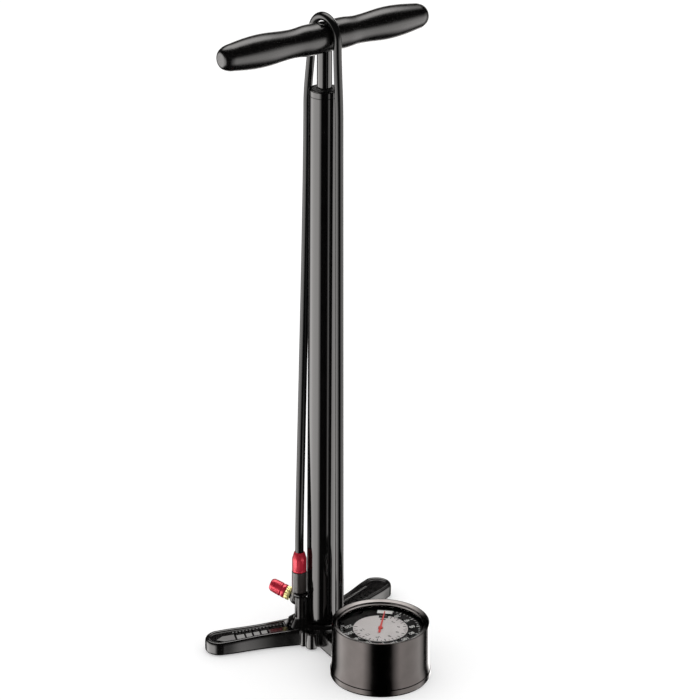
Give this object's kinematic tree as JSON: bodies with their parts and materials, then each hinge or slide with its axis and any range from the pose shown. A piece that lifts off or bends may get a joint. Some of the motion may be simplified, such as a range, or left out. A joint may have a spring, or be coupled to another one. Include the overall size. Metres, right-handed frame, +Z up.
{
  "type": "floor bike pump",
  "caption": "Upright floor pump with a cast base, dial gauge, T-handle, rubber hose looped over the handle and a twin-ended valve chuck parked on a dock post.",
  "frame": {"origin": "barrel axis at floor level", "axes": "+Z up along the barrel, handle along X, gauge towards -Y, legs sweep back towards +Y"},
  "size_m": [0.262, 0.2014, 0.64],
  "materials": {
    "cast_paint": "glossy black paint over cast metal",
    "barrel_paint": "glossy black paint",
    "rod_paint": "glossy black",
    "black_rubber": "matte",
    "hose_rubber": "satin black extruded rubber",
    "brass": "machined",
    "steel": "bright",
    "nylon": "natural nylon",
    "gauge_metal": "metallic bronze-black",
    "bezel_metal": "polished",
    "lens_clear": "clear",
    "dial_black": "matte print",
    "dial_silver": "satin",
    "needle_red": "satin red",
    "handle_plastic": "satin, fine grain",
    "bolt_black": "black",
    "chuck_black": "satin brown-black",
    "red_anodised": "red anodised",
    "gold_anodised": "pale gold anodised"
  },
  "bodies": {
    "pump_base": {"base_casting": "cast_paint", "barrel": "barrel_paint", "barrel_cap": "barrel_paint", "leg_pads": "black_rubber", "gauge_foot_ring": "black_rubber", "rod_wiper": "black_rubber", "barrel_seal": "black_rubber", "air_hose": "hose_rubber", "check_valve_seat": "brass", "gauge_socket": "brass", "bourdon_tube": "brass", "movement_lower_plate": "brass", "movement_pillars": "brass", "movement_upper_plate": "brass", "check_valve_spring": "steel", "gauge_screws": "steel", "hairspring": "steel", "rod_guide_bush": "nylon", "gauge_case": "gauge_metal", "gauge_bezel": "bezel_metal", "gauge_lens": "lens_clear", "dial_plate": "dial_black", "dial_centre": "dial_silver", "hose_fitting": "bolt_black"},
    "plunger": {"piston_rod": "rod_paint", "rod_top_insert": "steel", "piston_head": "nylon", "piston_seal": "black_rubber", "piston_screw": "steel", "stroke_bumper": "black_rubber", "handle": "handle_plastic", "handle_washer": "steel", "handle_bolt": "bolt_black"},
    "check_ball": {"check_valve_ball": "steel"},
    "chuck": {"chuck_body": "chuck_black", "hose_ferrule": "red_anodised", "hose_barb": "brass"},
    "side_head": {"lock_collar": "gold_anodised", "side_cap": "red_anodised", "side_gasket": "black_rubber"},
    "sector": {"sector_gear": "brass"},
    "link": {"bourdon_link": "steel"},
    "pointer": {"pinion_arbor": "brass", "gauge_needle": "needle_red"}
  },
  "joints": [
    {"name": "piston_slide", "type": "slide", "parent": "pump_base", "child": "plunger", "axis": [0, 0, 1], "range_m": [0, 0.485], "deforming": ["air_hose"]},
    {"name": "chuck_lift", "type": "slide", "parent": "pump_base", "child": "chuck", "axis": [0, 0, 1], "range_m": [0, 0.03], "deforming": ["air_hose"]},
    {"name": "side_head_turn", "type": "hinge", "parent": "chuck", "child": "side_head", "pos_m": [-0.02029, 0.01738, 0.0394], "axis": [-0.4955, 0.8149, 0.3007], "continuous": true},
    {"name": "check_ball_drop", "type": "slide", "parent": "pump_base", "child": "check_ball", "axis": [0, 0, -1], "range_m": [0, 0.002], "deforming": ["check_valve_spring"]},
    {"name": "sector_swing", "type": "hinge", "parent": "pump_base", "child": "sector", "pos_m": [0, -0.124, 0.034], "axis": [0, 0, 1], "range_deg": [0, 54]},
    {"name": "pointer_turn", "type": "hinge", "parent": "pump_base", "child": "pointer", "pos_m": [0, -0.097, 0.045], "axis": [0, 0, 1], "range_deg": [-270, 0]},
    {"name": "link_swing", "type": "hinge", "parent": "sector", "child": "link", "pos_m": [-0.0025, -0.1289, 0.0355], "axis": [0, 0, 1], "range_deg": [-54, 0]}
  ],
  "couplings": [
    {"joint": "pointer_turn", "follows": "sector_swing", "ratio": -5},
    {"joint": "link_swing", "follows": "sector_swing", "ratio": -1}
  ]
}
